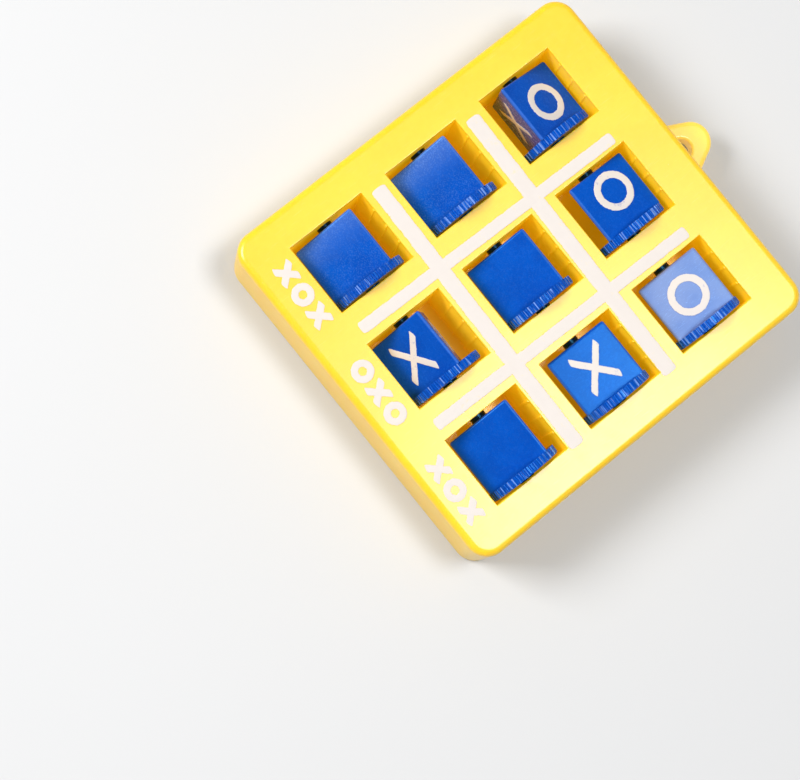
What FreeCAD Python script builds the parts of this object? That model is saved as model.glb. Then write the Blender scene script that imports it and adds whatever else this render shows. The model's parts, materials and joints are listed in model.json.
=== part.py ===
"""Pocket tic tac toe board: a case with nine windows, and nine three-sided tumblers that turn in them.

Frame: millimetres. The origin is the centre of the flat back of the case. +X is to the player's
right, +Y is up the board towards the key-ring tab, and +Z is out of the front face.
"""

import FreeCAD, Part
import math
import os
import re
import Sketcher
from FreeCAD import Placement, Rotation, Vector

# Driving dimensions, in millimetres, degrees or counts. Each one is a cell of the spreadsheet.
DIMENSIONS = {
    "pitch": 17.0,  # from one window's centre to the next, both ways
    "case_width": 56.0,
    "case_height": 60.0,
    "case_depth": 13.0,
    "case_corner": 3.2,  # radius of the four upright corners
    "front_round": 1.0,  # round along the rim of the front face
    "back_round": 0.4,
    "wall_thick": 1.5,
    "face_thick": 1.6,
    "window_width": 11.4,
    "window_height": 12.6,
    "window_round": 0.15,
    "well_wall": 1.2,
    "rib_width": 0.3,  # fine upright ribs on the upper wall of each well
    "rib_height": 0.12,
    "rib_spacing": 2.8,
    "rib_below_face": 0.3,
    "axle_depth": 3.9,  # from the front face down to the axles
    "stub_radius": 1.2,
    "stub_length": 2.3,
    "slot_radius": 1.26,
    "slot_reach": 24.6,  # from the board's middle to the far end of the stub slots
    "tab_level": 2.9,
    "tab_thick": 2.6,
    "tab_height": 6.75,  # how far the key-ring tab stands out of the case
    "tab_tip_radius": 3.0,
    "tab_lean": 27.0,  # how far the tab's two flanks lean in from upright
    "tab_round": 0.8,
    "key_hole_radius": 1.6,
    "key_hole_reach": 1.7,  # from the case to the centre of the key-ring hole
    "key_hole_round": 0.4,
    "boss_radius": 1.6,
    "socket_radius": 0.8,
    "socket_depth": 4.0,
    "cross_boss_at": 8.5,  # bosses where the channels between the wells cross
    "corner_boss_x": 25.2,
    "corner_boss_y": 26.9,
    "cover_thick": 1.6,
    "cover_gap": 0.06,
    "peg_radius": 0.76,
    "peg_length": 3.6,
    "tongue_width": 2.2,
    "tongue_thick": 1.0,
    "tongue_gap": 0.1,  # from the top of a tongue to the stub over it
    "pin_mark_radius": 1.75,  # shallow rounds left in the back by the mould's ejector pins
    "pin_mark_depth": 0.12,
    "pin_mark_x": 19.0,
    "pin_mark_y": 21.0,
    "gate_mark_radius": 0.8,
    "gate_mark_depth": 0.3,
    "gate_mark_y": -9.0,
    "prism_side": 10.6,
    "prism_round": 0.35,
    "prism_start": -5.0,  # the prism's left end, from the middle of its window
    "prism_length": 9.1,
    "disc_radius": 5.67,
    "disc_thick": 1.25,
    "disc_chamfer": 0.2,
    "knurl_count": 48,
    "knurl_radius": 0.24,
    "print_thick": 0.06,
    "print_turn": -1.0,  # the printing on the case is a little askew
    "print_shift_x": 0.9,
    "print_shift_y": -0.3,
    "line_spacing": 16.8,
    "line_length": 45.3,
    "line_width": 1.85,
    "border_y": -26.0,
    "border_spacing": 3.65,
    "border_size": 3.3,
    "border_stroke": 0.95,
    "ring_radius": 3.0,
    "ring_stroke": 0.95,
    "cross_width": 6.6,
    "cross_height": 5.2,
    "cross_stroke": 0.85,
}

COLUMNS = {"left": -1, "center": 0, "right": 1}
ROWS = {"top": 1, "middle": 0, "bottom": -1}

# A tumbler's faces, as the turn about its axle that brings each one to the front.
FACE_TURN = {"ring": 0.0, "cross": -120.0, "blank": 120.0}

# The face that each tumbler shows, and how far it is turned past square, in degrees.
SHOWN = {
    ("top", "left"): ("ring", -28.0),
    ("top", "center"): ("ring", -11.0),
    ("top", "right"): ("ring", 7.0),
    ("middle", "left"): ("blank", 25.0),
    ("middle", "center"): ("blank", 18.0),
    ("middle", "right"): ("cross", 5.0),
    ("bottom", "left"): ("blank", 23.0),
    ("bottom", "center"): ("cross", 43.0),
    ("bottom", "right"): ("blank", 20.0),
}

# How far a mark was stamped from the middle of its face: along the axle, and across it.
MARK_SHIFT = {
    ("top", "left", "ring"): (0.5, 0.1),
    ("top", "center", "ring"): (-0.7, 0.4),
    ("top", "right", "ring"): (0.3, 0.2),
    ("bottom", "center", "cross"): (0.2, -0.2),
}

# The small marks under each column, from left to right.
BORDER_MARKS = {
    "left": ("cross", "ring", "cross"),
    "center": ("ring", "cross", "ring"),
    "right": ("cross", "ring", "cross"),
}

FOUR_CORNERS = ((-1, -1), (1, -1), (1, 1), (-1, 1))

doc = FreeCAD.newDocument("tic_tac_toe")
sheet = doc.addObject("Spreadsheet::Sheet", "Dimensions")
for line, (alias, value) in enumerate(DIMENSIONS.items(), start=1):
    sheet.set(f"A{line}", alias)
    sheet.set(f"B{line}", str(value))
    sheet.setAlias(f"B{line}", alias)
doc.recompute()


def cell(formula):
    """A formula of dimensions, with each one's alias written as a reference to the spreadsheet."""
    return re.sub(
        r"[a-z]\w*",
        lambda word: f"Dimensions.{word[0]}" if word[0] in DIMENSIONS else word[0],
        formula,
    )


def number(formula):
    """What a formula of dimensions comes to."""
    return float(sheet.evalExpression(cell(formula)))


def bind(item, **formulas):
    """Bind an object's properties to formulas of the spreadsheet's cells."""
    for name, formula in formulas.items():
        item.setExpression(name, cell(formula))
    return item


# ---- sketches -------------------------------------------------------------------------------------


def new_body(name):
    body = doc.addObject("PartDesign::Body", name)
    body.Label = name
    return body


def origin_item(body, role):
    return next(item for item in body.Origin.OriginFeatures if item.Role == role)


def new_sketch(body, name, role="XY_Plane", level=None):
    """A sketch on one of the body's own origin planes, lifted off it by a formula."""
    sketch = body.newObject("Sketcher::SketchObject", name)
    sketch.AttachmentSupport = [(origin_item(body, role), "")]
    sketch.MapMode = "FlatFace"
    if level:
        sketch.setExpression("AttachmentOffset.Base.z", cell(level))
    return sketch


def fix_length(sketch, kind, items, formula):
    """Constrain a length in a sketch and bind it to a formula."""
    index = sketch.addConstraint(Sketcher.Constraint(kind, *items, number(formula)))
    sketch.setExpression(f"Constraints[{index}]", cell(formula))


def draw_circle(sketch, radius, across="0", along="0"):
    center = Vector(number(across), number(along), 0)
    circle = sketch.addGeometry(Part.Circle(center, Vector(0, 0, 1), number(radius)), False)
    fix_length(sketch, "Radius", (circle,), radius)
    fix_length(sketch, "DistanceX", (-1, 1, circle, 3), across)
    fix_length(sketch, "DistanceY", (-1, 1, circle, 3), along)


def draw_polygon(sketch, points):
    """Closed straight lines through the points; each line starts at the point of its own number."""
    lines = []
    for here, there in zip(points, points[1:] + points[:1]):
        lines.append(sketch.addGeometry(Part.LineSegment(here, there), False))
    for before, after in zip(lines, lines[1:] + lines[:1]):
        sketch.addConstraint(Sketcher.Constraint("Coincident", before, 2, after, 1))
    return lines


def draw_rectangle(sketch, width, height, across="0", along="0"):
    """A rectangle about the point (across, along), all four sizes given as formulas."""
    middle = Vector(number(across), number(along), 0)
    half = Vector(number(width) / 2, number(height) / 2, 0)
    corners = [middle + Vector(i * half.x, j * half.y, 0) for i, j in FOUR_CORNERS]
    bottom, right, top, left = draw_polygon(sketch, corners)
    for line, kind in ((bottom, "Horizontal"), (right, "Vertical"), (top, "Horizontal"), (left, "Vertical")):
        sketch.addConstraint(Sketcher.Constraint(kind, line))
    fix_length(sketch, "DistanceX", (bottom, 1, bottom, 2), width)
    fix_length(sketch, "DistanceY", (right, 1, right, 2), height)
    fix_length(sketch, "DistanceX", (-1, 1, top, 1), f"{across} + {width} / 2")
    fix_length(sketch, "DistanceY", (-1, 1, top, 1), f"{along} + {height} / 2")


# ---- features -------------------------------------------------------------------------------------


def pad(body, sketch, name, length, both_ways=False):
    feature = bind(body.newObject("PartDesign::Pad", name), Length=length)
    feature.Profile = sketch
    feature.Midplane = both_ways
    doc.recompute()
    return feature


def pocket(body, sketch, name, length=None, along_normal=True, both_ways=False):
    """Cut a sketch out of the body, right through it where no length is given."""
    before = body.Shape.Volume
    feature = body.newObject("PartDesign::Pocket", name)
    feature.Profile = sketch
    feature.Reversed = along_normal
    feature.Midplane = both_ways
    if length:
        bind(feature, Length=length)
    else:
        feature.Type = "ThroughAll"
    doc.recompute()
    if body.Shape.Volume >= before - 1e-6:
        raise RuntimeError(f"{name} cuts nothing")
    return feature


def repeat_over_board(body, feature, name, both=True):
    """Repeat a feature drawn at the lower left window over the board, or only up its rows."""
    patterns = []
    for role in ("X_Axis", "Y_Axis") if both else ("Y_Axis",):
        pattern = body.newObject("PartDesign::LinearPattern", f"{name}_along_{role[0]}")
        pattern.Direction = (origin_item(body, role), [""])
        pattern.Occurrences = 3
        bind(pattern, Length="2 * pitch")
        patterns.append(pattern)
    if both:
        whole = body.newObject("PartDesign::MultiTransform", name)
        whole.Originals = [feature]
        whole.Transformations = patterns
        body.Tip = whole
    else:
        patterns[0].Originals = [feature]
        body.Tip = patterns[0]
    doc.recompute()


def ease_edges(body, kind, name, amount, wanted):
    """Fillet or chamfer every edge of the body that a test picks."""
    tip = body.Tip
    picked = [
        f"Edge{i}"
        for i, edge in enumerate(tip.Shape.Edges, start=1)
        if not edge.Degenerated and wanted(edge)
    ]
    if not picked:
        raise RuntimeError(f"{name} finds no edge")
    feature = body.newObject(f"PartDesign::{kind}", name)
    feature.Base = (tip, picked)
    bind(feature, **{"Radius" if kind == "Fillet" else "Size": amount})
    doc.recompute()


def lies_at(edge, axis, level):
    """Whether the whole edge lies at one level of an axis, given as "x", "y" or "z"."""
    points = edge.discretize(5)
    return all(abs(getattr(point, axis) - level) < 1e-4 for point in points)


# ---- case -----------------------------------------------------------------------------------------


def draw_case_outline(sketch, inset):
    """The case's outline with rounded corners, drawn inwards of the outer wall by a formula."""
    half_x = number(f"case_width / 2 - {inset}")
    half_y = number(f"case_height / 2 - {inset}")
    radius = number(f"case_corner - {inset}")
    arcs = []
    lines = []
    for i, j in FOUR_CORNERS:
        center = Vector(i * (half_x - radius), j * (half_y - radius), 0)
        start = math.radians({(-1, -1): 180, (1, -1): 270, (1, 1): 0, (-1, 1): 90}[i, j])
        arc = Part.ArcOfCircle(Part.Circle(center, Vector(0, 0, 1), radius), start, start + math.pi / 2)
        arcs.append((sketch.addGeometry(arc, False), arc))
    for before, after in zip(arcs, arcs[1:] + arcs[:1]):
        line = Part.LineSegment(before[1].EndPoint, after[1].StartPoint)
        lines.append(sketch.addGeometry(line, False))
        sketch.addConstraint(Sketcher.Constraint("Tangent", before[0], 2, lines[-1], 1))
        sketch.addConstraint(Sketcher.Constraint("Tangent", lines[-1], 2, after[0], 1))
    bottom, right, top, left = lines
    for line in (bottom, top):
        sketch.addConstraint(Sketcher.Constraint("Horizontal", line))
    for line in (right, left):
        sketch.addConstraint(Sketcher.Constraint("Vertical", line))
    for arc, _ in arcs[1:]:
        sketch.addConstraint(Sketcher.Constraint("Equal", arcs[0][0], arc))
    fix_length(sketch, "Radius", (arcs[0][0],), f"case_corner - {inset}")
    fix_length(sketch, "DistanceX", (-1, 1, right, 1), f"case_width / 2 - {inset}")
    fix_length(sketch, "DistanceX", (left, 1, -1, 1), f"case_width / 2 - {inset}")
    fix_length(sketch, "DistanceY", (-1, 1, top, 1), f"case_height / 2 - {inset}")
    fix_length(sketch, "DistanceY", (bottom, 1, -1, 1), f"case_height / 2 - {inset}")


def add_key_ring_tab(body):
    """A tab with leaning flanks and a round tip, rooted inside the upper wall, with its hole."""
    lean = math.radians(number("tab_lean"))
    radius = number("tab_tip_radius")
    tip = Vector(0, number("case_height / 2 + tab_height - tab_tip_radius"), 0)
    root_y = number("case_height / 2 - wall_thick / 2")
    touch_y = tip.y + radius * math.sin(lean)
    touch_x = radius * math.cos(lean)
    root_x = touch_x + (touch_y - root_y) * math.tan(lean)

    sketch = new_sketch(body, "tab_outline", level="tab_level")
    cap = Part.ArcOfCircle(Part.Circle(tip, Vector(0, 0, 1), radius), lean, math.pi - lean)
    arc = sketch.addGeometry(cap, False)
    left = sketch.addGeometry(Part.LineSegment(cap.EndPoint, Vector(-root_x, root_y, 0)), False)
    foot = sketch.addGeometry(
        Part.LineSegment(Vector(-root_x, root_y, 0), Vector(root_x, root_y, 0)), False
    )
    right = sketch.addGeometry(Part.LineSegment(Vector(root_x, root_y, 0), cap.StartPoint), False)
    sketch.addConstraint(Sketcher.Constraint("Tangent", arc, 2, left, 1))
    sketch.addConstraint(Sketcher.Constraint("Tangent", right, 2, arc, 1))
    sketch.addConstraint(Sketcher.Constraint("Coincident", left, 2, foot, 1))
    sketch.addConstraint(Sketcher.Constraint("Coincident", foot, 2, right, 1))
    sketch.addConstraint(Sketcher.Constraint("Symmetric", foot, 1, foot, 2, -2))
    sketch.addConstraint(Sketcher.Constraint("PointOnObject", arc, 3, -2))
    fix_length(sketch, "Radius", (arc,), "tab_tip_radius")
    fix_length(
        sketch, "DistanceY", (-1, 1, arc, 3), "case_height / 2 + tab_height - tab_tip_radius"
    )
    fix_length(sketch, "DistanceY", (-1, 1, foot, 1), "case_height / 2 - wall_thick / 2")
    angle = sketch.addConstraint(Sketcher.Constraint("Angle", foot, 1, left, 2, math.pi / 2 - lean))
    sketch.setExpression(f"Constraints[{angle}]", cell("90 deg - tab_lean * 1 deg"))
    pad(body, sketch, "tab", "tab_thick")

    hole = new_sketch(body, "key_hole_outline")
    draw_circle(hole, "key_hole_radius", along="case_height / 2 + key_hole_reach")
    pocket(body, hole, "key_hole")

    wall_y = number("case_height / 2")
    faces = (number("tab_level"), number("tab_level + tab_thick"))

    def on_tab_rim(edge):
        beyond = all(point.y > wall_y - 1e-3 for point in edge.discretize(5))
        flat = any(lies_at(edge, "z", level) for level in faces)
        return beyond and flat and not lies_at(edge, "y", wall_y) and not is_key_hole(edge)

    def is_key_hole(edge):
        is_round = hasattr(edge.Curve, "Radius")
        return is_round and abs(edge.Curve.Radius - number("key_hole_radius")) < 1e-4

    def on_key_hole_rim(edge):
        return is_key_hole(edge) and any(lies_at(edge, "z", level) for level in faces)

    ease_edges(body, "Fillet", "tab_rim_round", "tab_round", on_tab_rim)
    ease_edges(body, "Fillet", "key_hole_rim_round", "key_hole_round", on_key_hole_rim)


def add_wells(body):
    """Nine wells open at the front, ribbed on their upper wall and slotted for the axle stubs."""
    block = new_sketch(body, "well_outline", level="cover_thick + cover_gap")
    draw_rectangle(
        block, "(window_width + 2 * well_wall)", "(window_height + 2 * well_wall)", "-pitch", "-pitch"
    )
    up_to_face = "case_depth - face_thick / 2 - cover_thick - cover_gap"
    repeat_over_board(body, pad(body, block, "well", up_to_face), "wells")

    window = new_sketch(body, "window_outline")
    draw_rectangle(window, "window_width", "window_height", "-pitch", "-pitch")
    repeat_over_board(body, pocket(body, window, "window"), "windows")

    slot = new_sketch(body, "slot_outline", role="YZ_Plane")
    draw_slot(slot)
    cut = pocket(body, slot, "slot", "2 * slot_reach", both_ways=True)
    repeat_over_board(body, cut, "slots", both=False)

    front = number("case_depth")
    outer_x = number("pitch + window_width / 2") + 0.01
    outer_y = number("pitch + window_height / 2") + 0.01

    def on_window_rim(edge):
        inside = all(abs(p.x) < outer_x and abs(p.y) < outer_y for p in edge.discretize(3))
        return inside and lies_at(edge, "z", front)

    ease_edges(body, "Fillet", "window_rims_round", "window_round", on_window_rim)

    ribs = new_sketch(body, "rib_outlines", level="cover_thick + cover_gap")
    for place in ("-pitch - rib_spacing", "-pitch", "-pitch + rib_spacing"):
        draw_rectangle(ribs, "rib_width", "(2 * rib_height)", place, "-pitch + window_height / 2")
    up_to_rim = "case_depth - rib_below_face - cover_thick - cover_gap"
    repeat_over_board(body, pad(body, ribs, "ribs", up_to_rim), "all_ribs")


def draw_slot(sketch):
    """A slot for the bottom row's stubs: open at the back, and round at the axle."""
    radius = number("slot_radius")
    axle_z = number("case_depth - axle_depth")
    low, high = -number("pitch") - radius, -number("pitch") + radius
    crown = Part.ArcOfCircle(
        Part.Circle(Vector(-number("pitch"), axle_z, 0), Vector(0, 0, 1), radius), 0, math.pi
    )
    arc = sketch.addGeometry(crown, False)
    down = sketch.addGeometry(Part.LineSegment(crown.EndPoint, Vector(low, 0, 0)), False)
    foot = sketch.addGeometry(Part.LineSegment(Vector(low, 0, 0), Vector(high, 0, 0)), False)
    rise = sketch.addGeometry(Part.LineSegment(Vector(high, 0, 0), crown.StartPoint), False)
    sketch.addConstraint(Sketcher.Constraint("Tangent", arc, 2, down, 1))
    sketch.addConstraint(Sketcher.Constraint("Tangent", rise, 2, arc, 1))
    sketch.addConstraint(Sketcher.Constraint("Coincident", down, 2, foot, 1))
    sketch.addConstraint(Sketcher.Constraint("Coincident", foot, 2, rise, 1))
    sketch.addConstraint(Sketcher.Constraint("Vertical", down))
    sketch.addConstraint(Sketcher.Constraint("Horizontal", foot))
    sketch.addConstraint(Sketcher.Constraint("PointOnObject", foot, 1, -1))
    fix_length(sketch, "Radius", (arc,), "slot_radius")
    fix_length(sketch, "DistanceX", (arc, 3, -1, 1), "pitch")
    fix_length(sketch, "DistanceY", (-1, 1, arc, 3), "case_depth - axle_depth")


def draw_peg_places(sketch, radius):
    """Eight circles: four where the channels cross, and four in the corners of the case."""
    for across, along in (("cross_boss_at", "cross_boss_at"), ("corner_boss_x", "corner_boss_y")):
        for i, j in FOUR_CORNERS:
            draw_circle(sketch, radius, f"{i} * {across}", f"{j} * {along}")


def make_front_shell():
    body = new_body("front_shell")
    outline = new_sketch(body, "case_outline")
    draw_case_outline(outline, "0")
    pad(body, outline, "case_block", "case_depth")
    front = number("case_depth")
    ease_edges(body, "Fillet", "front_rim", "front_round", lambda edge: lies_at(edge, "z", front))
    ease_edges(body, "Fillet", "back_rim", "back_round", lambda edge: lies_at(edge, "z", 0))

    inside = new_sketch(body, "cavity_outline")
    draw_case_outline(inside, "wall_thick")
    pocket(body, inside, "cavity", "case_depth - face_thick")
    add_wells(body)

    bosses = new_sketch(body, "boss_outlines", level="cover_thick + cover_gap")
    draw_peg_places(bosses, "boss_radius")
    pad(body, bosses, "bosses", "case_depth - face_thick / 2 - cover_thick - cover_gap")
    sockets = new_sketch(body, "socket_outlines", level="cover_thick + cover_gap")
    draw_peg_places(sockets, "socket_radius")
    pocket(body, sockets, "sockets", "socket_depth")

    add_key_ring_tab(body)
    return body


def make_back_cover():
    """A flat plate let into the back, with tongues that close the stub slots, and pegs. Outside it
    shows where the mould's pins and gate were."""
    body = new_body("back_cover")
    outline = new_sketch(body, "plate_outline")
    draw_case_outline(outline, "(wall_thick + cover_gap)")
    pad(body, outline, "plate", "cover_thick")

    pegs = new_sketch(body, "peg_outlines")
    draw_peg_places(pegs, "peg_radius")
    pad(body, pegs, "pegs", "cover_thick + peg_length")

    tongues = new_sketch(body, "tongue_outlines")
    for side in (-1, 1):
        from_middle = f"-pitch + {side} * (window_width + well_wall) / 2"
        draw_rectangle(tongues, "tongue_thick", "tongue_width", from_middle, "-pitch")
    up_to_stub = "case_depth - axle_depth - stub_radius - tongue_gap"
    repeat_over_board(body, pad(body, tongues, "tongue_pair", up_to_stub), "tongues")

    pin_marks = new_sketch(body, "pin_mark_outlines")
    for i, j in FOUR_CORNERS:
        draw_circle(pin_marks, "pin_mark_radius", f"{i} * pin_mark_x", f"{j} * pin_mark_y")
    pocket(body, pin_marks, "pin_marks", "pin_mark_depth")
    gate_mark = new_sketch(body, "gate_mark_outline")
    draw_circle(gate_mark, "gate_mark_radius", along="gate_mark_y")
    pocket(body, gate_mark, "gate_mark", "gate_mark_depth")
    return body


# ---- tumblers -------------------------------------------------------------------------------------


def draw_triangle(sketch):
    """An equal-sided triangle about the axle, with one side square to the front."""
    half = number("prism_side / 2")
    front = number("prism_side / (2 * sqrt(3))")
    points = [Vector(half, front, 0), Vector(-half, front, 0), Vector(0, -2 * front, 0)]
    top, left, right = draw_polygon(sketch, points)
    sketch.addConstraint(Sketcher.Constraint("Symmetric", top, 1, top, 2, -2))
    sketch.addConstraint(Sketcher.Constraint("Equal", top, left))
    sketch.addConstraint(Sketcher.Constraint("Equal", left, right))
    fix_length(sketch, "DistanceX", (top, 2, top, 1), "prism_side")
    fix_length(sketch, "DistanceY", (-1, 1, top, 1), "prism_side / (2 * sqrt(3))")


def make_tumbler(name):
    """One moulding along the X axis: an axle, a three-sided prism, and a knurled disc."""
    body = new_body(name)
    prism = new_sketch(body, f"{name}_prism_outline", role="YZ_Plane", level="prism_start")
    draw_triangle(prism)
    pad(body, prism, f"{name}_prism", "prism_length")
    right_end = number("prism_start + prism_length")
    ease_edges(
        body, "Fillet", f"{name}_prism_round", "prism_round", lambda edge: not lies_at(edge, "x", right_end)
    )

    disc = new_sketch(body, f"{name}_disc_outline", role="YZ_Plane", level="prism_start + prism_length")
    draw_circle(disc, "disc_radius")
    pad(body, disc, f"{name}_disc", "disc_thick")
    outer_face = number("prism_start + prism_length + disc_thick")
    ease_edges(
        body, "Chamfer", f"{name}_disc_chamfer", "disc_chamfer", lambda edge: lies_at(edge, "x", outer_face)
    )

    axle = new_sketch(body, f"{name}_axle_outline", role="YZ_Plane", level="prism_start - stub_length")
    draw_circle(axle, "stub_radius")
    pad(body, axle, f"{name}_axle", "prism_length + disc_thick + 2 * stub_length")

    groove = new_sketch(
        body, f"{name}_groove_outline", role="YZ_Plane", level="prism_start + prism_length"
    )
    draw_circle(groove, "knurl_radius", across="disc_radius")
    cut = pocket(body, groove, f"{name}_groove", "disc_thick")
    knurl = body.newObject("PartDesign::PolarPattern", f"{name}_knurl")
    knurl.Originals = [cut]
    knurl.Axis = (origin_item(body, "X_Axis"), [""])
    knurl.Angle = 360
    knurl.Occurrences = int(number("knurl_count"))
    body.Tip = knurl
    doc.recompute()
    return body


def tumbler_place(row, column):
    """Where a tumbler stands at rest: on its axle, turned to the face that it shows."""
    base = Vector(
        COLUMNS[column] * number("pitch"),
        ROWS[row] * number("pitch"),
        number("case_depth - axle_depth"),
    )
    face, past_square = SHOWN[row, column]
    return Placement(base, Rotation(Vector(1, 0, 0), FACE_TURN[face] + past_square))


# ---- printing -------------------------------------------------------------------------------------


def new_bar(name, length, width, turn=0.0, across=0.0, along=0.0):
    """A printed bar of the ink's thickness, centred on (across, along) and turned in its plane."""
    bar = bind(doc.addObject("Part::Box", name), Length=length, Width=width, Height="print_thick")
    rotation = Rotation(Vector(0, 0, 1), turn)
    corner = rotation.multVec(Vector(-number(length) / 2, -number(width) / 2, 0))
    bar.Placement = Placement(Vector(across, along, 0) + corner, rotation)
    return bar


def fuse(name, pieces):
    whole = doc.addObject("Part::MultiFuse", name)
    whole.Shapes = pieces
    return whole


def new_cross(name, width, height, stroke, across=0.0, along=0.0):
    """Two crossed strokes that fill a box of the given width and height."""
    lean = math.degrees(math.atan2(number(height), number(width)))
    length = f"sqrt({width} ^ 2 + {height} ^ 2) - {stroke}"
    strokes = [
        new_bar(f"{name}_{way}", length, stroke, turn, across, along)
        for way, turn in (("rising", lean), ("falling", -lean))
    ]
    return fuse(name, strokes)


def new_ring(name, radius, stroke, across=0.0, along=0.0):
    outer = bind(doc.addObject("Part::Cylinder", f"{name}_outer"), Radius=radius, Height="print_thick")
    inner = bind(
        doc.addObject("Part::Cylinder", f"{name}_inner"),
        Radius=f"{radius} - {stroke}",
        Height="2 * print_thick",
    )
    outer.Placement.Base = Vector(across, along, 0)
    inner.Placement.Base = Vector(across, along, -number("print_thick") / 2)
    ring = doc.addObject("Part::Cut", name)
    ring.Base = outer
    ring.Tool = inner
    return ring


def print_place():
    """The front printing's own frame: on the face, shifted and turned as it was printed."""
    base = Vector(number("print_shift_x"), number("print_shift_y"), number("case_depth"))
    return Placement(base, Rotation(Vector(0, 0, 1), number("print_turn")))


def make_grid_print():
    half = number("line_spacing / 2")
    lines = []
    for side, name in ((-1, "first"), (1, "second")):
        lines.append(new_bar(f"upright_{name}", "line_length", "line_width", 90, side * half, 0))
        lines.append(new_bar(f"level_{name}", "line_length", "line_width", 0, 0, side * half))
    grid = fuse("grid_print", lines)
    grid.Label = "grid_print"
    grid.Placement = print_place()
    return grid


def make_border_print(column):
    """Three small marks under a column."""
    name = f"border_print_{column}"
    marks = []
    for i, kind in enumerate(BORDER_MARKS[column]):
        across = COLUMNS[column] * number("pitch") + (i - 1) * number("border_spacing")
        place = (across, number("border_y"))
        if kind == "ring":
            marks.append(new_ring(f"{name}_{i}", "border_size / 2", "border_stroke", *place))
        else:
            marks.append(
                new_cross(f"{name}_{i}", "border_size", "border_size", "border_stroke", *place)
            )
    group = doc.addObject("Part::Compound", name)
    group.Links = marks
    group.Label = name
    group.Placement = print_place()
    return group


def make_tumbler_mark(kind, row, column):
    """A ring or a cross on the tumbler's face of that kind, which rides with the tumbler."""
    name = f"{kind}_print_{row}_{column}"
    shift = MARK_SHIFT.get((row, column, kind), (0.0, 0.0))
    if kind == "ring":
        mark = new_ring(name, "ring_radius", "ring_stroke", *shift)
    else:
        mark = new_cross(name, "cross_width", "cross_height", "cross_stroke", *shift)
    mark.Label = name
    middle = number("prism_start + prism_length / 2")
    on_face = Placement(Vector(middle, 0, number("prism_side / (2 * sqrt(3))")), Rotation())
    face_frame = Placement(Vector(), Rotation(Vector(1, 0, 0), -FACE_TURN[kind]))
    mark.Placement = tumbler_place(row, column).multiply(face_frame).multiply(on_face)
    return mark


# ---- assembly -------------------------------------------------------------------------------------

sub_parts = [make_front_shell(), make_back_cover(), make_grid_print()]
sub_parts += [make_border_print(column) for column in COLUMNS]
for row in ROWS:
    for column in COLUMNS:
        tumbler = make_tumbler(f"tumbler_{row}_{column}")
        tumbler.Placement = tumbler_place(row, column)
        sub_parts.append(tumbler)
        for kind in ("ring", "cross"):
            sub_parts.append(make_tumbler_mark(kind, row, column))
doc.recompute()

for item in doc.Objects:
    if "Invalid" in item.State or "Error" in item.State:
        raise RuntimeError(f"{item.Name} failed: {item.State}")
for item in sub_parts:
    if item.Shape.isNull() or not item.Shape.isValid():
        raise RuntimeError(f"{item.Label} has no valid shape")

os.makedirs("parts", exist_ok=True)
for item in sub_parts:
    item.Shape.exportStep(f"parts/{item.Label}.step")
    solids = len(item.Shape.Solids)
    print(f"{item.Label}: {solids} solid(s), {item.Shape.Volume:.2f} cubic millimetres")
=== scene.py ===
"""Looks of the pocket tic tac toe board: a yellow snap-together case with nine blue three-sided
tumblers, each free to turn on its own axle, and marks screen printed in white.

The frame's origin is the middle of the case's flat back. +X runs along the tumblers' axles, +Y runs
up to the key-ring tab and +Z comes out of the front face. Every length is in metres.
"""

import json
import math

import bmesh
import bpy
import numpy as np
from mathutils import Matrix, Vector


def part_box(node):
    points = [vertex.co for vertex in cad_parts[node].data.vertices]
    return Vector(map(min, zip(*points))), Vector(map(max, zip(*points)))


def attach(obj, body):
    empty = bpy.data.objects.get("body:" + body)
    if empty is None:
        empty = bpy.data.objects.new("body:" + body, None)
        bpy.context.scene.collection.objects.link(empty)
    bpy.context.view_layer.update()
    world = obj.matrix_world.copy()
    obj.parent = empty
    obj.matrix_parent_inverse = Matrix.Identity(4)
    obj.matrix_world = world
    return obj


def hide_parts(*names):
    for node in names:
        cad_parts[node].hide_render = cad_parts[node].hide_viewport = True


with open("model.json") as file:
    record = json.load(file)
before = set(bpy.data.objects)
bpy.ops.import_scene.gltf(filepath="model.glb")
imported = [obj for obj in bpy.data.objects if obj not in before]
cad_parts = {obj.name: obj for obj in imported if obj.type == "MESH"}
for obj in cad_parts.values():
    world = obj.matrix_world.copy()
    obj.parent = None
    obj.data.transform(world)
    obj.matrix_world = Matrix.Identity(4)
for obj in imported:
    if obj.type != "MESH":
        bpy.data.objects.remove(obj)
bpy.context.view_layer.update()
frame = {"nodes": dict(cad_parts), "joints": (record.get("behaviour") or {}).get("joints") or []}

MM = 0.001
ROWS = ("top", "middle", "bottom")
COLUMNS = ("left", "center", "right")

# ---- the object's own sizes -----------------------------------------------------------------------

INK_THICKNESS = 0.06 * MM
CROSSING_STEP = 0.004 * MM
UNDER_THICKNESS = INK_THICKNESS - CROSSING_STEP  # of the stroke that lies under a crossing
INK_ROUND = 0.45                # power of the superellipse across a stroke: lower is squarer
LINE_WANDER = (0.045 * MM, 4.0 * MM)  # how far a stroke's edge drifts, and over what length
RING_WANDER = (0.045 * MM, 1.7 * MM)
LINE_WIDTH = 1.85 * MM          # the two upright lines between the windows
LEVEL_WIDTH = 2.35 * MM         # the two level lines, printed heavier
LEVEL_DROP = 0.17 * MM          # and a little low
LINE_LENGTH = 45.3 * MM
LINE_SPACING = 16.8 * MM
END_ROUND = 0.24                # corner radius at a stroke's end, as a share of its width
LEVEL_CUT = 0.6                 # how far a cross's ends are cut from square towards level
PRINT_TURN = math.radians(-1.0)  # the whole print sits slightly askew on the case
BORDER_MARKS = {"left": "xox", "center": "oxo", "right": "xox"}
BORDER_SPACING = 3.65 * MM
BORDER_SIZE = 3.3 * MM
BORDER_STROKE = 1.05 * MM
RING_STROKE = 1.10 * MM
CROSS_STROKE = 0.98 * MM

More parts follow.
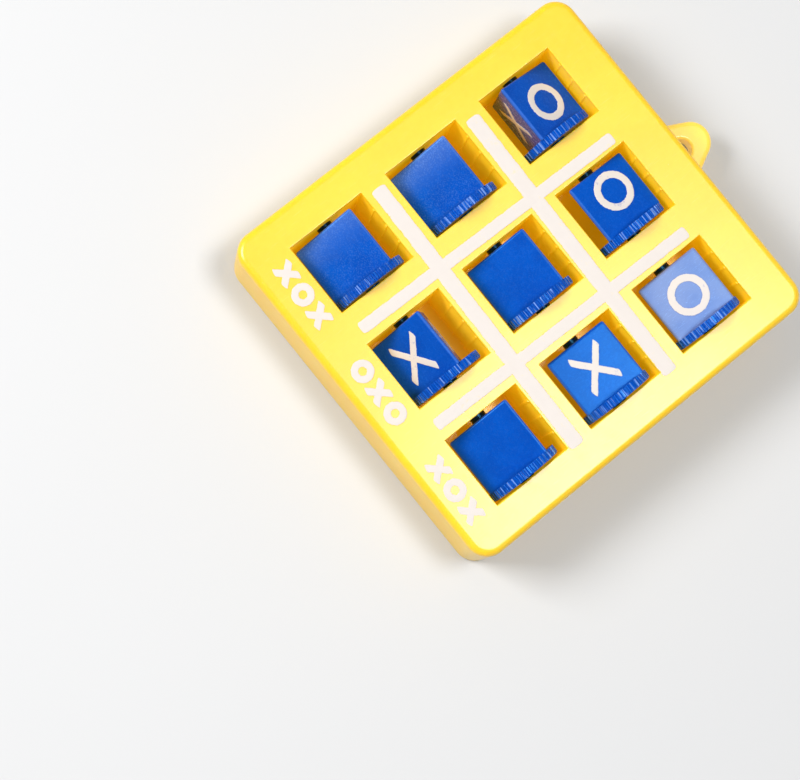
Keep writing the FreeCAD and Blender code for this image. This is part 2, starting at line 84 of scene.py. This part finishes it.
BETWEEN_STUBS = 10.4 * MM       # from one end of a tumbler's prism to the far side of its disc
DISC_THICKNESS = 1.25 * MM
KNURL_FLOOR = 5.35 * MM         # nearer to the axle than this, a disc is smooth; further out its knurls get painted highlights
EDGE_START = 5.62 * MM          # further from the axle than this, a prism's edges are rounded and get a painted highlight

# Colours are linear red, green and blue.
YELLOW = (0.930, 0.590, 0.017)
DEEP_YELLOW = (0.915, 0.555, 0.012)
BLUE = (0.0, 0.068, 0.425)
DEEP_BLUE = (0.0, 0.055, 0.370)
# painted shade: near black for the axle stubs, which lie in shadow in the slots
STUB_PAINTED_SHADE = (0.001, 0.003, 0.012)
# painted reflection: the pale colour of a softbox's reflection spread over a tumbler's face
PAINTED_REFLECTION_BLUE = (0.310, 0.335, 0.460)
# pale blue for scratches and dust, and for the painted glints, highlights and sheen on the tumblers
GLINT = (0.300, 0.480, 0.880)
INK_WHITE = (0.670, 0.615, 0.570)
AMBER_GLOW = (0.370, 0.198, 0.0)  # painted glow: emission standing in for light soaked through a yellow wall
TAB_GLOW = (0.240, 0.210, 0.070)  # and a painted glow standing in for light through the thin key-ring tab


# ---- surfaces -------------------------------------------------------------------------------------


def wobble(along, seed, amount, wavelength):
    """A slow random drift along a line: the sum of five sine waves with seeded phases, each one
    1.7 times finer and 0.7 times as high as the one before, scaled so that its crest is amount."""
    phases = np.random.default_rng(seed).uniform(0, 2 * np.pi, 5)
    drift = np.zeros_like(along)
    for order, phase in enumerate(phases):
        drift += 0.7**order * np.sin(2 * np.pi * 1.7**order * along / wavelength + phase)
    return amount * drift / 2.5


def sheet_faces(rows, columns, rows_close, columns_close):
    """The four corner numbers of every cell in a grid of points, with the last row or column joined
    to the first where the sheet closes on itself."""
    index = np.arange(rows * columns).reshape(rows, columns)
    if rows_close:
        index = np.vstack([index, index[:1]])
    if columns_close:
        index = np.hstack([index, index[:, :1]])
    corners = [index[:-1, :-1], index[1:, :-1], index[1:, 1:], index[:-1, 1:]]
    return np.stack(corners, axis=-1).reshape(-1, 4)


def facing_outwards(points, faces):
    """The same faces, each listed the other way round if the volume they enclose, the sum of the
    signed tetrahedra from their middle, comes out negative."""
    a, b, c, d = (points[faces[:, corner]] - points.mean(axis=0) for corner in range(4))
    volume = np.sum(a * np.cross(b, c)) + np.sum(a * np.cross(c, d))
    return faces if volume > 0 else faces[:, ::-1]


def add_piece(name, sheets, body, replaced, finish):
    """One piece made of closed sheets, each a grid of points with an edge value from 0 at the rim
    to 1 in the middle. Poles are merged shut, and the piece rides on its CAD body."""
    points, faces, edge_values, start = [], [], [], 0
    for grid, edges, closes in sheets:
        flat = grid.reshape(-1, 3)
        corners = sheet_faces(*grid.shape[:2], *closes)
        points.append(flat)
        faces.append(facing_outwards(flat, corners) + start)
        edge_values.append(edges.reshape(-1))
        start += len(flat)
    points, faces = np.concatenate(points), np.concatenate(faces)
    mesh = bpy.data.meshes.new(name)
    mesh.vertices.add(len(points))
    mesh.vertices.foreach_set("co", points.astype(np.float32).ravel())
    mesh.loops.add(faces.size)
    mesh.loops.foreach_set("vertex_index", faces.astype(np.int32).ravel())
    mesh.polygons.add(len(faces))
    mesh.polygons.foreach_set("loop_start", np.arange(0, faces.size, 4, dtype=np.int32))
    mesh.update(calc_edges=True)
    rim = mesh.attributes.new("ink_edge", "FLOAT", "POINT")
    rim.data.foreach_set("value", np.concatenate(edge_values).astype(np.float32))
    shape = bmesh.new()
    shape.from_mesh(mesh)
    bmesh.ops.remove_doubles(shape, verts=shape.verts, dist=1e-8)
    bmesh.ops.dissolve_degenerate(shape, edges=shape.edges, dist=1e-9)
    shape.to_mesh(mesh)
    shape.free()
    mesh.shade_smooth()
    mesh.materials.append(finish)
    piece = bpy.data.objects.new(name, mesh)
    bpy.context.scene.collection.objects.link(piece)
    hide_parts(*replaced)
    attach(piece, body)
    return piece


# ---- printed ink ----------------------------------------------------------------------------------


def ink_stroke(path, width, seed, closes, thickness=INK_THICKNESS, slant=0.0):
    """The film of ink along a path in the plane, as a grid of points (across, along, up).
    Across the path the film is a superellipse, flat on top and rounded down to the face, on a flat
    underside. Its two edges wander separately by a wobble. An open stroke narrows at both ends by
    the same superellipse, so that they are blunt with rounded corners, and slant slides each point
    along the stroke by that share of its distance from the middle line, which cuts the ends
    askew."""
    step = np.roll(path, -1, axis=0) - path
    length = np.linalg.norm(step, axis=1)
    travelled = np.concatenate([[0.0], np.cumsum(length[:-1])])
    if closes:
        heading = np.roll(path, -1, axis=0) - np.roll(path, 1, axis=0)
    else:
        heading = np.gradient(path, axis=0)
    heading /= np.linalg.norm(heading, axis=1)[:, None]
    side = np.stack([-heading[:, 1], heading[:, 0]], axis=1)

    if closes:
        round_trip = travelled / (travelled[-1] + length[-1])
        left, right = (
            wobble(np.cos(2 * np.pi * round_trip + turn) * 3 * MM, seed + k, *RING_WANDER)
            for k, turn in enumerate((0.4, 1.7))
        )
        blunt = np.ones(len(path))
    else:
        left = wobble(travelled, seed, *LINE_WANDER)
        right = wobble(travelled, seed + 1, *LINE_WANDER)
        from_end = np.minimum(travelled, travelled[-1] - travelled) / (END_ROUND * width)
        blunt = (1 - (1 - np.clip(from_end, 0, 1)) ** 3) ** (1 / 3)

    turn = np.linspace(0, np.pi, 11)
    across = np.sign(np.cos(turn)) * np.abs(np.cos(turn)) ** INK_ROUND
    height = np.sin(turn) ** INK_ROUND
    reach = np.where(across > 0, (width / 2 + left)[:, None], (width / 2 + right)[:, None])
    offset = reach * across * blunt[:, None]
    sideways = side + slant * heading
    flat = path[:, None, :] + offset[..., None] * sideways[:, None, :]
    up = thickness * height * blunt[:, None] ** 0.3
    grid = np.concatenate([flat, up[..., None]], axis=2)
    rim = (1 - np.abs(across)) * blunt[:, None]
    return grid, rim, (closes, True)


def straight(start, end):
    """Points along a straight stroke, crowded towards both ends: half a cosine wave in distance."""
    share = 0.5 - 0.5 * np.cos(np.linspace(0, np.pi, 61))
    return np.array(start) + share[:, None] * (np.array(end) - np.array(start))


def printed_cross(width, height, stroke, seed):
    """Two straight strokes from corner to corner of a box, the second a little thinner under the
    first. Their ends are cut part of the way towards level, as a letter's are."""
    x, y = (width - stroke * 0.8) / 2, (height - stroke * 0.5) / 2
    slant = LEVEL_CUT * x / y
    rising, falling = straight((-x, -y), (x, y)), straight((-x, y), (x, -y))
    return [
        ink_stroke(rising, stroke, seed, False, slant=-slant),
        ink_stroke(falling, stroke, seed + 10, False, UNDER_THICKNESS, slant=slant),
    ]


def printed_ring(radius, stroke, seed):
    """One closed stroke round a circle whose radius, to its outer edge, drifts by a hundredth."""
    angle = np.linspace(0, 2 * np.pi, 96, endpoint=False)
    middle = (radius - stroke / 2) * (1 + 0.012 * np.sin(2 * angle + seed))
    path = np.stack([middle * np.cos(angle), middle * np.sin(angle)], axis=1)
    return [ink_stroke(path, stroke, seed, True)]


def laid_on(sheets, origin, along, over, normal, shift=(0.0, 0.0)):
    """The sheets moved from their own plane to a face: origin plus their first coordinate along one
    edge of the face, their second over it, and their height out along its normal."""
    axes = np.array([along, over, normal], float)
    moved = []
    for grid, rim, closes in sheets:
        placed = grid + np.array([shift[0], shift[1], 0.0])
        moved.append((placed @ axes + np.array(origin), rim, closes))
    return moved


def face_under(node, axle):
    """Where a flat mark lies: the middle of its underside, the directions along its axle, over the
    face and out of it, and its size both ways. The normal is the direction in which the mark's
    points spread least, taken away from the axle."""
    mesh = frame["nodes"][node].data
    points = np.zeros(len(mesh.vertices) * 3, np.float32)
    mesh.vertices.foreach_get("co", points)
    points = points.reshape(-1, 3).astype(float)
    along = np.array([1.0, 0.0, 0.0])
    middle = (points.min(axis=0) + points.max(axis=0)) / 2
    normal = np.linalg.svd(points - points.mean(axis=0), full_matrices=False)[2][-1]
    normal[0] = 0.0
    normal /= np.linalg.norm(normal)
    if np.dot(normal[1:], (middle - axle)[1:]) < 0:
        normal = -normal
    over = np.cross(normal, along)
    own = (points - middle) @ np.array([along, over, normal]).T
    middle = middle + own[:, 2].min() * normal
    width, height = np.ptp(own[:, 0]), np.ptp(own[:, 1])
    middle = middle + (own[:, 1].max() + own[:, 1].min()) / 2 * over
    return middle, (along, over, normal), (width, height)


# ---- shader maths ---------------------------------------------------------------------------------


class Wire:
    """One output of a finish's node tree. Sums and products of wires and numbers add Math nodes."""

    def __init__(self, finish, socket):
        self.finish = finish
        self.socket = socket

    def maths(self, operation, first, second):
        return self.finish.node("ShaderNodeMath", {"operation": operation}, {0: first, 1: second})

    def __add__(self, other):
        return self.maths("ADD", self, other)

    def __radd__(self, other):
        return self.maths("ADD", other, self)

    def __sub__(self, other):
        return self.maths("SUBTRACT", self, other)

    def __rsub__(self, other):
        return self.maths("SUBTRACT", other, self)

    def __mul__(self, other):
        return self.maths("MULTIPLY", self, other)

    def __rmul__(self, other):
        return self.maths("MULTIPLY", other, self)

    def __abs__(self):
        return self.maths("ABSOLUTE", self, 0.0)

    def most(self, other):
        return self.maths("MAXIMUM", self, other)


class Finish:
    """A procedural material under construction, read in the piece's own Object coordinates."""

    def __init__(self, name):
        self.material = bpy.data.materials.new(name)
        self.material.use_nodes = True
        self.tree = self.material.node_tree
        self.tree.nodes.clear()
        self.place = self.node("ShaderNodeTexCoord", output="Object")

    def node(self, kind, settings=None, values=None, output=0):
        """Adds one node: first its settings, a ramp's stops among them, then a number, colour or
        wire for each named or numbered socket. Gives back the wire of one output."""
        made = self.tree.nodes.new(kind)
        for name, setting in (settings or {}).items():
            setattr(made, name, setting)
        for socket, value in (values or {}).items():
            if isinstance(value, Wire):
                self.tree.links.new(value.socket, made.inputs[socket])
            elif isinstance(value, tuple) and made.inputs[socket].type == "RGBA":
                made.inputs[socket].default_value = (*value, 1.0)
            else:
                made.inputs[socket].default_value = value
        return Wire(self, made.outputs[output])

    def axis(self, name):
        """One of the X, Y and Z Object coordinates as a number."""
        return self.node("ShaderNodeSeparateXYZ", None, {"Vector": self.place}, name)

    def moved(self, shift=(0, 0, 0), turn=(0, 0, 0), scale=(1, 1, 1)):
        """Object coordinates shifted, turned and stretched."""
        values = {"Vector": self.place, "Location": shift, "Rotation": turn, "Scale": scale}
        return self.node("ShaderNodeMapping", None, values)

    def clouds(self, size, detail=2.0, place=None, roughness=0.5):
        """Smooth noise from about 0.25 to 0.75 whose patches are about size across."""
        values = {
            "Vector": place or self.place,
            "Scale": 1 / size,
            "Detail": detail,
            "Roughness": roughness,
        }
        return self.node("ShaderNodeTexNoise", None, values)

    def rise(self, value, low, high):
        """0 below low, 1 above high, and a smooth step in between. It falls if low is above high."""
        values = {"Value": value, "From Min": low, "From Max": high}
        return self.node("ShaderNodeMapRange", {"interpolation_type": "SMOOTHSTEP"}, values)

    def hairlines(self, spacing, turn, seed, length=26.0):
        """Short straight scratches along one direction: the crests of a noise whose patches are
        length times longer than wide."""
        stretched = self.moved(
            shift=(seed * 0.37, seed * 0.11, seed * 0.23),
            turn=(0.0, 0.0, turn),
            scale=(1.0, 1.0 / length, 1.0),
        )
        return self.rise(self.clouds(spacing, 1.0, stretched), 0.66, 0.74)

    def specks(self, spacing, size, seed=0.0):
        """Round specks of dust: points nearer than size, as a share of spacing, to the middle of a
        Voronoi cell, in about a third of the cells."""
        shifted = self.moved(shift=(seed, seed * 0.7, seed * 0.3))
        values = {"Vector": shifted, "Scale": 1 / spacing}
        near = self.node("ShaderNodeTexVoronoi", None, values)
        kept = self.rise(self.clouds(spacing * 2.2, 0.0, shifted), 0.54, 0.58)
        return self.rise(near, size, size * 0.6) * kept

    def mixed(self, share, first, second):
        """The first colour turning into the second as share goes from 0 to 1."""
        settings = {"data_type": "RGBA"}
        return self.node("ShaderNodeMix", settings, {0: share, 6: first, 7: second}, 2)

    def bumped(self, height, depth):
        """The surface normal tilted by a height from 0 to 1 that stands for depth."""
        return self.node("ShaderNodeBump", None, {"Height": height, "Distance": depth})

    def plastic(self, **values):
        """Ends the tree in a plastic surface and gives back the material."""
        sockets = {name.replace("_", " "): value for name, value in values.items()}
        surface = self.node("ShaderNodeBsdfPrincipled", None, sockets)
        end = self.tree.nodes.new("ShaderNodeOutputMaterial")
        self.tree.links.new(surface.socket, end.inputs["Surface"])
        return self.material


# ---- finishes -------------------------------------------------------------------------------------


def painted_glow_in_wells(finish):
    """Where a painted glow stands in for light soaked through the thin yellow walls into the wells:
    none on the outside, most just under the front face, and less with depth."""
    low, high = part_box("front_shell")
    x, y, z = (finish.axis(name) for name in "XYZ")
    skin = 1.0 * MM
    inside_sides = finish.rise(abs(x), high.x - skin, high.x - skin - 0.2 * MM)
    inside_ends = finish.rise(abs(y), -low.y - skin, -low.y - skin - 0.2 * MM)
    under_face = finish.rise(z, high.z - 0.10 * MM, high.z - 0.45 * MM)
    fade = 0.35 + 0.65 * finish.rise(z, 0.0, high.z)
    return inside_sides * inside_ends * under_face * fade


def case_finish(name, seed):
    """Injection-moulded yellow polystyrene: faint flow clouds, a fine orange-peel skin, hairline
    scratches and a few specks of dust. A little light soaks into it, and a painted amber glow inside
    the wells and a paler painted glow on the key-ring tab stand in for light soaking through."""
    finish = Finish(name)
    drift = (seed * 0.013, seed * 0.021, 0.0)
    flow = finish.clouds(11 * MM, 3.0, finish.moved(shift=drift, scale=(1.0, 0.5, 1.0)))
    mottle = finish.clouds(0.9 * MM, 2.0)
    skin = finish.clouds(0.22 * MM, 2.0)
    scratches = finish.hairlines(0.10 * MM, 0.6, seed).most(
        finish.hairlines(0.12 * MM, 2.1, seed + 3)
    )
    dust = finish.specks(1.6 * MM, 0.05, seed)
    shade = finish.rise(flow * 0.75 + mottle * 0.25, 0.36, 0.64)
    colour = finish.mixed(shade, DEEP_YELLOW, YELLOW)
    colour = finish.mixed(scratches * 0.10 + dust * 0.35, colour, (0.95, 0.86, 0.45))
    height = skin * 0.5 + mottle * 0.9 - scratches * 0.25 + dust * 0.5
    # painted glow: emission inside the wells and on the key-ring tab, standing in for light soaked
    # through the plastic
    glow = painted_glow_in_wells(finish)
    wall_top = -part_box("front_shell")[0].y
    on_tab = finish.rise(finish.axis("Y"), wall_top, wall_top + 1.5 * MM)
    light = finish.mixed(glow, (0.0, 0.0, 0.0), AMBER_GLOW)
    return finish.plastic(
        Base_Color=colour,
        Roughness=0.27 + 0.07 * mottle + 0.10 * scratches + 0.25 * glow,
        Normal=finish.bumped(height, 0.004 * MM),
        IOR=1.55,
        Subsurface_Weight=0.3,
        Subsurface_Radius=(1.0, 0.50, 0.06),
        Subsurface_Scale=1.0 * MM,
        Emission_Color=finish.mixed(on_tab, light, TAB_GLOW),
        Emission_Strength=1.0,
        Coat_Weight=0.10,
        Coat_Roughness=0.12,
    )


def tumbler_finish(name, node, axle, seed, wear_and_painted_light):
    """Glossy blue polystyrene: a spark-eroded skin with fine painted glints, dust, hairline
    scratches, painted highlights along the prism's edges and on the knurls and, on some pieces, a
    painted pale reflection over the prism or a painted sheen towards its left end. The stubs that
    carry it are painted near black as shade."""
    painted_reflection_level, sparkle, painted_sheen_level = wear_and_painted_light
    finish = Finish(name)
    low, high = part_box(node)
    reach = BETWEEN_STUBS / 2
    along = finish.axis("X") - (low.x + high.x) / 2
    across = finish.moved(shift=(0.0, -axle[1], -axle[2]), scale=(0.0, 1.0, 1.0))
    from_axle = finish.node("ShaderNodeVectorMath", {"operation": "LENGTH"}, {0: across}, "Value")
    on_stub = finish.rise(abs(along), reach, reach + 0.15 * MM)
    on_disc = finish.rise(along, reach - DISC_THICKNESS - 0.04 * MM, reach - DISC_THICKNESS)
    # masks for the painted highlights on the knurls and along the prism's rounded edges
    on_knurl = on_disc * finish.rise(from_axle, KNURL_FLOOR, KNURL_FLOOR + 0.1 * MM)
    on_edge = finish.rise(from_axle, EDGE_START, EDGE_START + 0.12 * MM) * (1 - on_disc)

    drift = (seed * 0.017, seed * 0.009, seed * 0.005)
    flow = finish.clouds(4 * MM, 3.0, finish.moved(shift=drift))
    grain = finish.clouds(0.17 * MM, 1.0)
    mottle = finish.clouds(0.6 * MM, 2.0)
    streaks = finish.clouds(0.33 * MM, 1.0, finish.moved(shift=drift, scale=(0.07, 1.0, 1.0)))
    scratches = finish.hairlines(0.08 * MM, 0.4 + seed, seed).most(
        finish.hairlines(0.10 * MM, 1.9 + seed, seed + 5)
    )
    dust = finish.specks(0.8 * MM, 0.06, seed)
    colour = finish.mixed(finish.rise(flow * 0.8 + mottle * 0.2, 0.35, 0.65), DEEP_BLUE, BLUE)
    # painted reflection: a pale colour over the prism, away from the disc; it also raises the
    # roughness
    rubbed_and_painted_haze = (0.72 + 0.28 * finish.rise(flow, 0.3, 0.7)) * (1 - on_disc) * painted_reflection_level
    colour = finish.mixed(rubbed_and_painted_haze, colour, PAINTED_REFLECTION_BLUE)
    # painted glints: pale dots in the skin's grain
    glints = finish.rise(grain, 0.50, 0.66)
    # painted sheen: a pale, glinting reflection fading in from the prism's left end
    sheen = finish.rise(along + flow * 3.0 * MM, 2.2 * MM, -reach) * (0.45 + 0.55 * glints) * painted_sheen_level
    # pale scratches and dust, made paler where the painted reflection lies, plus painted glints
    pale = scratches * (0.03 + painted_reflection_level * 0.5) + dust * 0.25 + glints * sparkle * 0.09
    # painted highlights on the knurls and along the prism's edges, and the painted sheen
    bright = finish.rise(streaks, 0.56, 0.68) * on_knurl * 0.55 + on_edge * 0.10 + sheen
    colour = finish.mixed(pale.most(bright), colour, GLINT)
    # painted shade: the stubs coloured near black
    colour = finish.mixed(on_stub, colour, STUB_PAINTED_SHADE)
    height = grain * (0.1 + 0.6 * sparkle) - scratches * 0.3
    return finish.plastic(
        Base_Color=colour,
        Roughness=0.24 + 0.06 * mottle + 0.14 * rubbed_and_painted_haze + 0.10 * scratches,
        Normal=finish.bumped(height, 0.005 * MM),
        IOR=1.55,
        Specular_IOR_Level=0.45,
        Specular_Tint=(0.12, 0.52, 1.0),
    )


def ink_finish(name, under, wear_and_painted_light, seed):
    """Matte white screen ink: slightly uneven, thinner and ragged towards its edges, where the
    plastic under it shows through."""
    finish = Finish(name)
    drift = (seed * 0.003, seed * 0.007, 0.0)
    rim = finish.node("ShaderNodeAttribute", {"attribute_name": "ink_edge"}, None, "Fac")
    weave = finish.clouds(0.28 * MM, 3.0, finish.moved(shift=drift))
    patches = finish.clouds(1.6 * MM, 3.0, finish.moved(shift=drift))
    thin = finish.rise(rim * 2.2 + weave * 0.9, 0.62, 0.40)
    rubbed_and_painted_haze = finish.rise(patches * 0.7 + weave * 0.3, 0.60, 0.72) * wear_and_painted_light
    colour = finish.mixed(patches, (0.64, 0.58, 0.53), INK_WHITE)
    colour = finish.mixed(thin.most(rubbed_and_painted_haze), colour, under)
    return finish.plastic(
        Base_Color=colour,
        Roughness=0.46 + 0.14 * weave,
        Normal=finish.bumped(weave * 0.6 + patches * 0.4, 0.006 * MM),
        IOR=1.45,
    )


def finish_case():
    """The front shell and the back cover in the same yellow, moulded apart."""
    for seed, node in enumerate(("front_shell", "back_cover")):
        frame["nodes"][node].material_slots[0].material = case_finish(f"{node} yellow", seed + 1)


# Per tumbler: painted pale reflection, grain shown as bumps and painted glints, painted sheen.
BARELY_WORN = (0.0, 0.2, 0.0)
PAINTED_LIGHT_AND_SPARKLE = {
    ("bottom", "left"): (0.0, 0.9, 0.30),
    ("middle", "left"): (0.0, 0.9, 0.38),
    ("top", "right"): (0.62, 0.4, 0.0),
    ("middle", "center"): (0.0, 0.3, 0.0),
}


def axle_of(row, column):
    """A point on the axle that a tumbler turns on."""
    joint = next(j for j in frame["joints"] if j["name"] == f"turn_{row}_{column}")
    return np.array(joint["pos_m"])


def finish_tumblers():
    """Each tumbler in its own piece of blue."""
    for index, (row, column) in enumerate((r, c) for r in ROWS for c in COLUMNS):
        wear_and_painted_light = PAINTED_LIGHT_AND_SPARKLE.get((row, column), BARELY_WORN)
        node = f"tumbler_{row}_{column}"
        blue = tumbler_finish(f"{node} blue", node, axle_of(row, column), index + 1, wear_and_painted_light)
        frame["nodes"][node].material_slots[0].material = blue


def askew_axes():
    """The directions along, over and out of the front that the whole print on it follows."""
    return np.array(Matrix.Rotation(PRINT_TURN, 3, "Z").transposed())


def print_grid(ink):
    """The two upright and two level lines between the windows, blunt at their ends, printed a
    degree askew and a little off the middle of the case."""
    low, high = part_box("grid_print")
    middle = (low + high) / 2
    reach, half = LINE_LENGTH / 2, LINE_SPACING / 2
    lines = []
    for index, side in enumerate((-half, half)):
        upright = straight((side, -reach), (side, reach))
        level = straight((-reach, side - LEVEL_DROP), (reach, side - LEVEL_DROP))
        lines.append(ink_stroke(upright, LINE_WIDTH, 20 + index, False))
        lines.append(ink_stroke(level, LEVEL_WIDTH, 30 + index, False, UNDER_THICKNESS))
    sheets = laid_on(lines, (middle.x, middle.y, low.z), *askew_axes())
    add_piece("grid_ink", sheets, "case", ["grid_print"], ink)


def print_border(column, ink):
    """Three small marks in a row below a column of windows."""
    low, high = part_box(f"border_print_{column}")
    middle = (low + high) / 2
    marks = []
    for index, mark in enumerate(BORDER_MARKS[column]):
        seed = 40 + 7 * index + 31 * COLUMNS.index(column)
        if mark == "x":
            shape = printed_cross(BORDER_SIZE, BORDER_SIZE, BORDER_STROKE, seed)
        else:
            shape = printed_ring(BORDER_SIZE / 2, BORDER_STROKE, seed)
        shift = ((index - 1) * BORDER_SPACING, 0.0)
        marks += laid_on(shape, (0, 0, 0), (1, 0, 0), (0, 1, 0), (0, 0, 1), shift)
    sheets = laid_on(marks, (middle.x, middle.y, low.z), *askew_axes())
    name = f"border_print_{column}"
    add_piece(f"border_ink_{column}", sheets, "case", [name], ink)


def print_tumbler(row, column, ink):
    """The ring on one face of a tumbler and the cross on another. The third face is blank."""
    axle = axle_of(row, column)
    seed = 3 * ROWS.index(row) + COLUMNS.index(column)
    for kind in ("ring", "cross"):
        node = f"{kind}_print_{row}_{column}"
        origin, axes, (width, height) = face_under(node, axle)
        if kind == "ring":
            shape = printed_ring(width / 2, RING_STROKE, 200 + seed)
        else:
            shape = printed_cross(width, height, CROSS_STROKE, 300 + 40 * seed)
        sheets = laid_on(shape, origin, *axes)
        name = f"{kind}_ink_{row}_{column}"
        add_piece(name, sheets, f"tumbler_{row}_{column}", [node], ink)


def print_marks():
    """Every white mark, on the case and on the tumblers."""
    case_ink = ink_finish("case ink white", under=YELLOW, wear_and_painted_light=0.25, seed=1)
    tumbler_ink = ink_finish("tumbler ink white", under=BLUE, wear_and_painted_light=0.35, seed=2)
    print_grid(case_ink)
    for column in COLUMNS:
        print_border(column, case_ink)
        for row in ROWS:
            print_tumbler(row, column, tumbler_ink)


# ---- floor, light and camera ----------------------------------------------------------------------

FLOOR_GREYS = ((0.60, 0.60, 0.60), (0.63, 0.63, 0.63))
FLOOR_REACH = 2.0
FLOOR_GAP = 0.02 * MM           # keeps the floor from flickering through the back
SURROUND = (0.95, 0.97, 1.0, 1.0)
SURROUND_STRENGTH = 0.35
SOFTBOXES = {                   # place, size across and power in watts
    "key softbox": ((-0.34, -0.28, 0.42), 0.24, 3.2),
    "overhead softbox": ((0.10, 0.12, 0.62), 0.17, 2.2),
}
CAMERA_PLACE = (0.0097, -0.0729, 0.3135)
CAMERA_AIM = (0.0020, -0.0238, 0.0130)
CAMERA_ROLL = math.radians(51.37)
FOCAL_LENGTH = 99.8             # in lens millimetres, on a sensor 36 wide


def lay_floor():
    """A plain pale floor under the back of the case."""
    finish = Finish("floor pale")
    tone = finish.clouds(0.15, 2.0)
    material = finish.plastic(Base_Color=finish.mixed(tone, *FLOOR_GREYS), Roughness=0.9)
    reach = FLOOR_REACH
    corners = [(-reach, -reach, 0), (reach, -reach, 0), (reach, reach, 0), (-reach, reach, 0)]
    mesh = bpy.data.meshes.new("floor")
    mesh.from_pydata(corners, [], [(0, 1, 2, 3)])
    mesh.materials.append(material)
    floor = bpy.data.objects.new("floor", mesh)
    floor.location.z = -FLOOR_GAP
    bpy.context.scene.collection.objects.link(floor)


def add_softbox(name, place, size, power, aim=(0, 0, 0.01)):
    """A square lamp of that size and power at a place, facing the object."""
    lamp = bpy.data.lights.new(name, "AREA")
    lamp.shape = "SQUARE"
    lamp.size = size
    lamp.energy = power
    softbox = bpy.data.objects.new(name, lamp)
    softbox.location = place
    softbox.rotation_mode = "QUATERNION"
    softbox.rotation_quaternion = (Vector(aim) - Vector(place)).to_track_quat("-Z", "Y")
    bpy.context.scene.collection.objects.link(softbox)


def light_scene():
    """Soft light: a key from the left, a softbox nearly overhead that glosses the right side of the
    front, and an even pale surround."""
    world = bpy.data.worlds.new("pale surround")
    world.use_nodes = True
    surround = world.node_tree.nodes["Background"]
    surround.inputs["Color"].default_value = SURROUND
    surround.inputs["Strength"].default_value = SURROUND_STRENGTH
    bpy.context.scene.world = world
    for name, (place, size, power) in SOFTBOXES.items():
        add_softbox(name, place, size, power)
    bpy.context.scene.view_settings.view_transform = "Standard"


def place_camera():
    """A long lens above the lower edge of the board, rolled so that the board's +X runs down to the
    right of the picture."""
    lens = bpy.data.cameras.new("camera")
    lens.sensor_width = 36.0
    lens.lens = FOCAL_LENGTH
    lens.clip_start = 0.01
    place = Vector(CAMERA_PLACE)
    forward = (Vector(CAMERA_AIM) - place).normalized()
    across = forward.cross(Vector((0, 1, 0))).normalized()
    over = across.cross(forward)
    up = over * math.cos(CAMERA_ROLL) - across * math.sin(CAMERA_ROLL)
    right = forward.cross(up)
    camera = bpy.data.objects.new("camera", lens)
    turned = Matrix((right, up, -forward)).transposed().to_4x4()
    camera.matrix_world = Matrix.Translation(place) @ turned
    bpy.context.scene.collection.objects.link(camera)
    bpy.context.scene.camera = camera


finish_case()
finish_tumblers()
print_marks()
lay_floor()
light_scene()
place_camera()
